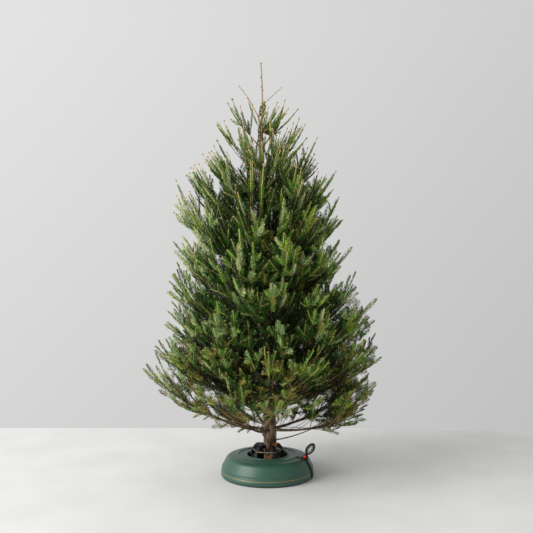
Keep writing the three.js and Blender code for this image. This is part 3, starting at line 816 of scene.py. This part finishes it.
greyStemsFrom = 1300
tubes("stem_wood", [(line, r, 1 if line[0].z > greyStemsFrom else 2) for line, r in stemTubes], 6)


# A bud is a small pointed oval of eight faces.
budRule = {"length": 9, "radius": 3.2}
budTones = {
    "tan": surface("bud_tan", (0.45, 0.3, 0.12), (0.55, 0.4, 0.2), 0.6, 80),
    "green": surface("bud_green", (0.2, 0.25, 0.07), (0.3, 0.33, 0.12), 0.6, 80),
}


# One piece of buds from rows of place, way, size and tone.
def buds(name, rows):
    places = np.array([tuple(row[0]) for row in rows], float)
    ways = unit(np.array([tuple(row[1]) for row in rows], float))
    sizes = np.array([row[2] for row in rows], float)[:, None]
    side = unit(np.cross(ways, [0.31, 0.2, 0.93]))
    over = np.cross(side, ways)
    length, radius = budRule["length"] * sizes, budRule["radius"] * sizes
    ring = [places + ways * length * 0.42 + v * radius for v in (side, over, -side, -over)]
    points = np.stack([places - ways * 0.5, *ring, places + ways * length], axis=1).reshape(-1, 3)
    shape = np.array([(0, 1, 2), (0, 2, 3), (0, 3, 4), (0, 4, 1), (5, 2, 1), (5, 3, 2), (5, 4, 3), (5, 1, 4)])
    faces = (np.arange(len(places))[:, None, None] * 6 + shape).reshape(-1, 3)
    mesh = arrayMesh(name, points, faces, np.repeat(np.array([row[3] for row in rows]), 8))
    finished(name, mesh, list(budTones.values()))
    print(name, len(mesh.polygons))


# one bud at each young tip, and three at the tips that show, larger high in the tree
tips = []
for a, b, c, over, age, luck, depth, onTwig in allShoots:
    if age:
        continue
    way = (c - b).normalized()
    size = (0.75 + 0.4 * luck) * byPlace((0.8, 1.25), c)
    tone = 0 if luck < 0.72 else 1
    tips.append((c, way, size, tone))
    if depth < 70:
        side = way.cross(over)
        tips += [(c - way * 2, way + side * sign * 0.8 + over * 0.3, size * 0.8, tone) for sign in (-1, 1)]
buds("shoot_buds", tips)


# Bark: grey-brown plates with dark cracks, orange bare wood where the butt was trimmed, tan on the leader.
# The trimmed edge is higher on the right.
bareWood = {"edge": 0.106, "rise": 1.7, "ragged": 0.16, "sharp": 120}  # heights in m
tanLeader = {"from": 1.66, "sharp": 9}


def barkMaterial():
    material, tree, shader = newMaterial("trunk_bark")
    x, z = (axisOf(tree, "Object", axis) for axis in "XZ")
    plates = grainOf(tree, 55, (1, 1, 0.4), 5)
    bark = ramp(tree, plates, (0.36, (0.016, 0.01, 0.006)), (0.48, (0.1, 0.062, 0.036)),
                (0.64, (0.3, 0.2, 0.12)))
    wood = ramp(tree, grainOf(tree, 40, (1, 1, 0.16), 3),
                (0.35, (0.2, 0.06, 0.015)), (0.65, (0.46, 0.19, 0.05)))
    tan = ramp(tree, grainOf(tree, 90, (1, 1, 0.5), 2),
               (0.35, (0.24, 0.16, 0.08)), (0.65, (0.42, 0.31, 0.17)))
    ragged = calc(tree, "SUBTRACT", grainOf(tree, 28, (1, 1, 0.6), 3), 0.5)
    ragged = calc(tree, "MULTIPLY", ragged, bareWood["ragged"])
    edge = calc(tree, "ADD", bareWood["edge"], calc(tree, "MULTIPLY", x, bareWood["rise"]))
    edge = calc(tree, "ADD", edge, ragged)
    bare = calc(tree, "MULTIPLY", calc(tree, "SUBTRACT", edge, z), bareWood["sharp"], True)
    leader = calc(tree, "SUBTRACT", z, tanLeader["from"])
    leader = calc(tree, "MULTIPLY", leader, tanLeader["sharp"], True)
    relief = addNode(tree, "Bump", {"Height": plates, "Strength": 0.6, "Distance": 0.0015}, "Normal")
    feed(tree, shader, {"Base Color": blended(tree, leader, blended(tree, bare, bark, wood), tan),
                        "Roughness": 0.88, "Specular IOR Level": 0.25, "Normal": relief})
    return material


trunkBark = {"steps": 56, "fine": 4, "fineTo": 420, "coarse": 18, "relief": 2.1, "buttRelief": 0.6,
             "buttTo": 90, "over": 80, "fullRadius": 25}
smoothBark = 60  # degrees


# How far the bark stands out at a point: long plates, with knots where the boughs leave.
def barkRelief(x, y, z, amount):
    plates = noise.fractal(Vector((x / 13, y / 13, z / 34)), 0.9, 2.1, 4)
    cracks = abs(noise.noise(Vector((x / 9, y / 9, z / 46))))
    return amount * (0.7 * plates + 1.2 * cracks - 0.3)


fineRows = np.arange(trunkRows[0][0] + trunkBark["fine"], trunkBark["fineTo"], trunkBark["fine"])
coarseRows = np.arange(trunkBark["fineTo"], trunkRows[-1][0], trunkBark["coarse"])
heights = [trunkRows[0][0], *fineRows, *coarseRows, trunkRows[-1][0]]
outline = [(0, heights[0])] + [(trunkRadius(h), h) for h in heights] + [(0, heights[-1])]
bm = turned(outline, trunkBark["steps"])
for v in bm.verts:
    x, y, z = v.co / mm
    r = math.hypot(x, y)
    if r > 0.01 and heights[0] < z < heights[-1]:
        amount = lerp(trunkBark["buttRelief"], trunkBark["relief"],
                      clamp((z - trunkBark["buttTo"]) / trunkBark["over"], 0, 1))
        amount *= min(r / trunkBark["fullRadius"], 1)
        wobble = 1 + barkRelief(x, y, z, amount) / r
        x, y = x * wobble, y * wobble
    v.co = Vector((x + trunkX(z), y, z)) * mm
fromBmesh("trunk_bark", bm, smoothBark, barkMaterial(), nodes=["trunk"])


# A limb with bark on it: a turned straight bar whose points are carried onto its curve.
def barkLimb(name, curve, radii, nodes, material, steps=14, rows=60, relief=0.7):
    outline = [(0, 0)] + [(1, i * 10) for i in range(rows + 1)] + [(0, rows * 10)]
    bm = turned(outline, steps)
    for v in bm.verts:
        x, y, z = v.co / mm
        t = clamp(z / (rows * 10), 0, 1)
        p = curve(t)
        along = (curve(min(t + 0.02, 1)) - curve(max(t - 0.02, 0))).normalized()
        side = along.cross(upwards).normalized()
        over = side.cross(along)
        radius = lerp(*radii, t) * (1 + 0.25 * max(0, 1 - t * 9) ** 2)
        if math.hypot(x, y) > 0.5:
            radius += barkRelief(p.x + 20 * x, p.y + 20 * y, p.z, relief * min(radius / 6, 1))
        v.co = (p + side * (x * radius) + over * (y * radius)) * mm
    fromBmesh(name, bm, smoothBark, material, nodes=nodes)


limbBark = surface("limb_bark", (0.06, 0.042, 0.03), (0.17, 0.125, 0.085), 0.85, 70, bump=0.5,
                   specular=0.2, detail=5)
for index in range(tiers[0][2]):
    far = reach(0, sectorMiddle(0, index), growth["spineShare"]) * growth["limbLength"]
    start = 0.5 * trunkRadius(tiers[0][0])
    barkLimb(f"bough_bark_{index + 1}", lambda t: spinePoint(0, index, lerp(start, far, t)),
             growth["limbRadius"], [f"bough_{index + 1}"], limbBark)

# Bare twigs: where each leaves the stem, its direction, how far it goes out and up, its sag and its radii.
bareTwigs = {
    "twig_top_left": (1740, 180, 104, 178, -0.15, (2.8, 1.3)),
    "twig_top_right": (1828, -8, 88, 80, 0, (2.0, 1.0)),
    "twig_low_right": (172, -14, 214, 84, 0.25, (3.6, 1.8)),
    "twig_low_left": (158, 196, 26, 84, 0, (4.2, 2.6)),
}
tanBark = surface("twig_tan", (0.25, 0.17, 0.085), (0.42, 0.31, 0.16), 0.75, 90, bump=0.3, depth=0.0006,
                  specular=0.2)
greyBark = surface("twig_grey", (0.07, 0.05, 0.036), (0.16, 0.12, 0.085), 0.85, 80, bump=0.4, depth=0.0008,
                   specular=0.2)
sideBuds = []  # place, way, size
for name, (height, azimuth, out, up, sag, radii) in bareTwigs.items():
    start, end = 0.4 * trunkRadius(height), trunkRadius(height) + out
    line = (at(azimuth, start, height), at(azimuth, lerp(start, end, 0.5), height + up * (0.5 - sag)),
            at(azimuth, end, height + up))
    high = height > 1000
    barkLimb(name + "_bark", lambda t: bezier(*line, t), radii, [name], tanBark if high else greyBark,
             steps=8, rows=40, relief=0.25)
    count = int((line[2] - line[0]).length / (17 if high else 34))
    for i in range(2, count):
        t = i / count
        p, along = bezier(*line, t), (bezier(*line, t + 0.01) - bezier(*line, t)).normalized()
        way = turnedBy(along.cross(upwards).normalized(), along, 137 * i)
        sideBuds.append((p + way * lerp(*radii, t) * 0.8, way + along * 1.1, 0.75 if high else 0.5))
    sideBuds += [(line[2], line[2] - line[1] + turnedBy(upwards, Vector((1, 0, 0)), 60 * k) * 20, 1.0)
                 for k in range(3)]

# the leader's own buds, and the cluster at its tip
leaderBuds = {"from": 1770, "to": 2020, "step": 16, "turn": 137}
for i, height in enumerate(range(leaderBuds["from"], leaderBuds["to"], leaderBuds["step"])):
    a = leaderBuds["turn"] * i
    way = at(a, 10, 0) - at(a, 0, 0) + upwards * 9
    sideBuds.append((at(a, trunkRadius(height) * 0.8, height), way, 0.8 if i % 3 else 1.3))
for k in range(4):
    way = at(90 * k, 4, 0) - at(90 * k, 0, 0) + upwards * 9
    sideBuds.append((at(90 * k, 1.2, 2030), way, 1.1))
buds("side_buds", [(*bud, 0 if i % 4 else 1) for i, bud in enumerate(sideBuds)])
print("trunk, boughs and bare twigs done")


# The stand's shell.
greenPlastic = {"low": (0.024, 0.082, 0.054), "high": (0.02688, 0.09184, 0.06048), "lineLow": 0.0278,
                "lineHigh": 0.0296, "gold": (0.42, 0.25, 0.07, 1)}


# Satin green plastic with fine flow marks and one thin gold line low on the side.
def shellMaterial():
    material = surface("green_plastic", greenPlastic["low"], greenPlastic["high"], 0.4, 9, (1, 1, 14),
                       bump=0.04, depth=0.0006)
    tree = material.node_tree
    shader = tree.nodes["Principled BSDF"]
    drift = shader.inputs["Base Color"].links[0].from_socket
    height = axisOf(tree, "Object", "Z")
    above = calc(tree, "GREATER_THAN", height, greenPlastic["lineLow"])
    below = calc(tree, "LESS_THAN", height, greenPlastic["lineHigh"])
    line = calc(tree, "MULTIPLY", above, below)
    feed(tree, shader, {"Base Color": blended(tree, line, drift, greenPlastic["gold"])})
    return material


blackPlastic = surface("black_plastic", (0.004, 0.004, 0.0045), (0.008, 0.008, 0.0085), 0.42, 60,
                       bump=0.08, depth=0.0004, specular=0.25)
footBlack = surface("foot_black", (0.01, 0.01, 0.011), (0.016, 0.016, 0.017), 0.7, 40, bump=0.05,
                    depth=0.0004)

shell = {
    # out, up; the side wall runs between the third and fourth points
    "foot": [(225.4, 5.3), (228.6, 9), (230, 17)],
    "side": [(230, 17), (225, 48)],
    "grooves": [27.2, 30.2, 36, 41],
    "grooveDeep": 0.7,
    "shoulder": [(224.2, 51), (222.4, 54), (220.4, 56.5), (206.6, 83), (204.2, 87.2), (201.2, 91),
                 (197.6, 94), (193, 97), (188, 98.9), (184, 99.6)],
    "top": [(151, 101.5), (149.6, 103.3), (147, 104.5), (144.4, 103.3), (143, 101.5), (126, 101.2),
            (110, 101.5), (108.6, 104), (106, 105), (101.6, 105), (100.3, 104)],
    "inside": [(100.3, 98), (150, 98), (186, 95.3), (194, 91.5), (219, 51), (227, 17), (222.5, 5.3)],
}
(lowOut, lowUp), (highOut, highUp) = shell["side"]
wall = []
for z in shell["grooves"]:
    for dz, deep in ((-0.9, 0), (0, shell["grooveDeep"]), (0.9, 0)):
        wall.append((lerp(lowOut, highOut, (z + dz - lowUp) / (highUp - lowUp)) - deep, z + dz))
outline = shell["foot"] + wall + [(highOut, highUp)] + shell["shoulder"] + shell["top"] + shell["inside"]
smoothTurned = 38  # degrees
smoothCut = 36
bm = turned(outline, 160)
fromBmesh("shell", bm, smoothTurned, shellMaterial(), nodes=["stand_shell"])

outline = [(0, 0), (221, 0), (222.6, 0.5), (223.6, 1.4), (224, 3), (223.4, 4.6), (222, 5), (0, 5)]
fromBmesh("foot", turned(outline, 128), smoothTurned, footBlack, nodes=["stand_foot"])

outline = [(0, 5.3), (84, 5.3), (86.4, 7), (100, 95.6), (99.4, 97), (98, 97), (97, 96), (84, 16), (80, 12),
           (0, 12)]
# painted shade: the well is coloured near black all over for the shadow inside the stand's bowl
wellPaintedShade = surface("well_painted_shade", (0.005, 0.012, 0.009), (0.009, 0.018, 0.014), 0.55, 30, specular=0.2)
fromBmesh("well", turned(outline, 112), smoothTurned, wellPaintedShade, nodes=["water_well"])
print("shell, foot and well done")

claw = {"count": 5, "turn": 10, "width": 22, "height": 152, "groove": 80, "cableHeight": 126, "bevel": 1.6,
        "pinAt": (84, 86), "pinRadius": 3.4, "pinPast": 5, "cheek": 6, "cheekAside": 14.6, "gap": 0.3}
clawAngles = [claw["turn"] + index * 360 / claw["count"] for index in range(claw["count"])]
cheekOutline = [(74, 72), (86, 70), (94, 80), (96, 98), (92, 109), (82, 112), (75, 104), (72, 88)]


# How far from the axis a claw's nose rests on the stem.
def stemReach(height, azimuth):
    x, a = trunkX(height), math.radians(azimuth)
    across = max(abs(x * math.sin(a)) - claw["width"] / 2, 0)
    return x * math.cos(a) + math.sqrt(trunkRadius(height) ** 2 - across ** 2)


for index, azimuth in enumerate(clawAngles):
    nose = stemReach(claw["height"] - 14, azimuth) + claw["gap"]
    top = claw["height"]
    outline = [
        (nose, top - 14), (nose, top - 1), (nose + 7, top + 4), (60, top + 2), (71, top - 10),
        (claw["groove"] - 2.2, claw["cableHeight"] + 2.4), (claw["groove"] - 2.6, claw["cableHeight"] - 2),
        (claw["groove"] + 3, claw["cableHeight"] - 6), (87, 112), (91, 98), (90, 82), (86, 74), (79, 76),
        (78, 100), (70, 118), (57, 134), (nose + 9, 139),
    ]
    bm = radialPlate(outline, claw["width"], azimuth)
    for side in (-1, 1):
        radialPlate(cheekOutline, claw["cheek"], azimuth, side * claw["cheekAside"], bm)
    bevelSharp(bm, claw["bevel"], 30)
    pinOut, pinUp = claw["pinAt"]
    where = Matrix.Rotation(math.radians(azimuth), 4, "Z") @ Matrix.Translation((pinOut * mm, 0, pinUp * mm))
    cylinder(bm, claw["pinRadius"], 2 * (claw["cheekAside"] + claw["pinPast"]), where, 20)
    fromBmesh(f"jaw_{index + 1}", bm, 34, blackPlastic, nodes=[f"claw_{index + 1}"])

# The cable runs straight from claw to claw: twisted strands, with a brass ferrule in front on the left.
cable = {"radius": 2.2, "strands": 5, "strandRadius": 0.82, "lay": 16, "steps": 60, "ferruleAt": 0.27,
         "ferruleLong": 21, "ferruleRadius": 3.3}
steel = surface("steel_cable", (0.26, 0.27, 0.28), (0.42, 0.43, 0.44), 0.5, 200, metallic=1.0)
brass = surface("brass", (0.6, 0.4, 0.13), (0.72, 0.5, 0.2), 0.35, 120, metallic=1.0)
corners = []
for azimuth in clawAngles:
    a = math.radians(azimuth)
    corners.append(Vector((claw["groove"] * math.cos(a), claw["groove"] * math.sin(a), claw["cableHeight"])))
strands = bpy.data.curves.new("cable", "CURVE")
strands.dimensions = "3D"
strands.bevel_depth = cable["strandRadius"] * mm
strands.bevel_resolution = 2
spread = cable["radius"] - cable["strandRadius"]
for strand in range(cable["strands"]):
    points = []
    walked = 0
    for start, end in zip(corners, corners[1:] + corners[:1]):
        along = (end - start).normalized()
        side = along.cross(upwards)
        for i in range(cable["steps"]):
            t = i / cable["steps"]
            turn = (walked + t * (end - start).length) / cable["lay"] + strand / cable["strands"]
            turn *= 2 * math.pi
            aside = side * (math.cos(turn) * spread) + upwards * (math.sin(turn) * spread)
            points.append(start.lerp(end, t) + aside)
        walked += (end - start).length
    line = strands.splines.new("POLY")
    line.points.add(len(points) - 1)
    line.points.foreach_set("co", [c for p in points for c in (*(p * mm), 1)])
    line.use_cyclic_u = True
piece = bpy.data.objects.new("cable", strands)
strands.materials.append(steel)
scene.collection.objects.link(piece)
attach(piece, "tree_and_stand")
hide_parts("clamp_cable")

front, toward = corners[3:5]
bm = bmesh.new()
where = Matrix.Translation(front.lerp(toward, cable["ferruleAt"]) * mm)
where @= (toward - front).normalized().to_track_quat("Z", "Y").to_matrix().to_4x4()
cylinder(bm, cable["ferruleRadius"], cable["ferruleLong"], where, 24, lies=False)
bevelSharp(bm, 0.7, 30)
fromBmesh("ferrule", bm, 34, brass)
print("claws and cable done")

lever = {"azimuth": -21, "out": 196, "up": 110, "rise": 56, "armWidth": 8, "armThick": 9, "ringAt": 45,
         "ringLong": 31, "ringHigh": 19, "ringWide": 20, "rimWall": 5.5, "webWide": 4, "webSunk": 0.5,
         "slotLong": 15, "slotHigh": 3.2, "eye": 7, "steps": 64}
toHinge = (
    Matrix.Rotation(math.radians(lever["azimuth"]), 4, "Z")
    @ Matrix.Translation((lever["out"] * mm, 0, lever["up"] * mm))
)
risen = toHinge @ Matrix.Rotation(math.radians(-lever["rise"]), 4, "Y")


# An oval ring that stands on edge at the end of the lever, between two half lengths and two half heights.
def ovalRing(outer, inner, wide):
    bm = bmesh.new()
    for long, high in (outer, inner):
        made = bmesh.ops.create_circle(bm, segments=lever["steps"], radius=1, cap_ends=False)["verts"]
        bmesh.ops.scale(bm, verts=made, vec=(long * mm, high * mm, 1))
    bmesh.ops.bridge_loops(bm, edges=bm.edges[:])
    solid = bmesh.ops.extrude_face_region(bm, geom=bm.faces[:])["geom"]
    raised = [v for v in solid if isinstance(v, bmesh.types.BMVert)]
    bmesh.ops.translate(bm, verts=raised, vec=(0, 0, wide * mm))
    onEdge = Matrix.Rotation(math.radians(90), 4, "X") @ Matrix.Translation((0, 0, -wide / 2 * mm))
    onEdge = Matrix.Translation((lever["ringAt"] * mm, 0, 0)) @ onEdge
    bmesh.ops.transform(bm, verts=bm.verts, matrix=onEdge)
    return bm


rimInside = (lever["ringLong"] - lever["rimWall"], lever["ringHigh"] - lever["rimWall"])
bm = ovalRing((lever["ringLong"], lever["ringHigh"]), rimInside, lever["ringWide"])
neck = lever["ringAt"] - lever["ringLong"] + lever["rimWall"] / 2
arm = Matrix.Translation((neck / 2 * mm, 0, 0)) @ Matrix.Diagonal(
    (neck * mm, lever["armWidth"] * mm, lever["armThick"] * mm, 1))
bmesh.ops.create_cube(bm, size=1, matrix=arm)
cylinder(bm, lever["eye"], lever["armWidth"], Matrix(), 40)
bevelSharp(bm, 1.3, 40)
bmesh.ops.transform(bm, verts=bm.verts, matrix=risen)
fromBmesh("lever_loop", bm, smoothCut, blackPlastic, body="foot_lever", nodes=["pedal"])

# the grey web inside the rim, with its slot
webGrey = surface("web_grey", (0.16, 0.16, 0.157), (0.22, 0.22, 0.216), 0.6, 60, bump=0.08, depth=0.0004)
webOutside = [half + lever["webSunk"] for half in rimInside]
bm = ovalRing(webOutside, (lever["slotLong"], lever["slotHigh"]), lever["webWide"])
bevelSharp(bm, 1.2, 40)
bmesh.ops.transform(bm, verts=bm.verts, matrix=risen)
fromBmesh("lever_web", bm, smoothCut, webGrey, body="foot_lever")

pin = {"radius": 3, "capRadius": 6.9, "cap": 3.5, "nut": 5.5, "railWidth": 17}
redPlastic = surface("red_plastic", (0.6, 0.012, 0.01), (0.7, 0.02, 0.016), 0.35, 60, bump=0.03, depth=0.0003)
bm = bmesh.new()
for radius, depth, centre, sides in (
    (pin["radius"], pin["railWidth"] + 2, 0, 24),
    (pin["capRadius"], pin["cap"], -pin["railWidth"] / 2 - 0.3 - pin["cap"] / 2, 48),
    (pin["nut"], 3, pin["railWidth"] / 2 + 1.8, 6),
):
    cylinder(bm, radius, depth, Matrix.Translation((0, centre * mm, 0)), sides)
bevelSharp(bm, 1.1, 40)
bmesh.ops.transform(bm, verts=bm.verts, matrix=toHinge)
fromBmesh("red_pin", bm, smoothCut, redPlastic, nodes=["pedal_pin"])

# The dark rail runs down the side and over the shoulder, and its two ears carry the pin.
rail = {"width": pin["railWidth"], "earWidth": 3.8, "earAside": 6.6, "bevel": 1.2}
railOutline = [
    (226, 7), (232.4, 7.4), (234.4, 17), (229.6, 49), (226.4, 58), (211, 86), (206.4, 92.8), (200, 98.2),
    (193.4, 101.6), (184, 104), (151, 105.8), (147, 104.4), (147, 100.6), (184, 97.6), (193, 93), (203, 82),
    (218, 54), (222.6, 46), (227, 17),
]
earOutline = [(182, 97), (206, 84), (208, 105), (205, 116), (197, 120), (188, 117), (181, 106)]
bm = radialPlate(railOutline, rail["width"], lever["azimuth"])
for side in (-1, 1):
    radialPlate(earOutline, rail["earWidth"], lever["azimuth"], side * rail["earAside"], bm)
bevelSharp(bm, rail["bevel"], 24)
fromBmesh("rail", bm, smoothCut, blackPlastic, nodes=["pedal_rail"])
print("lever done")
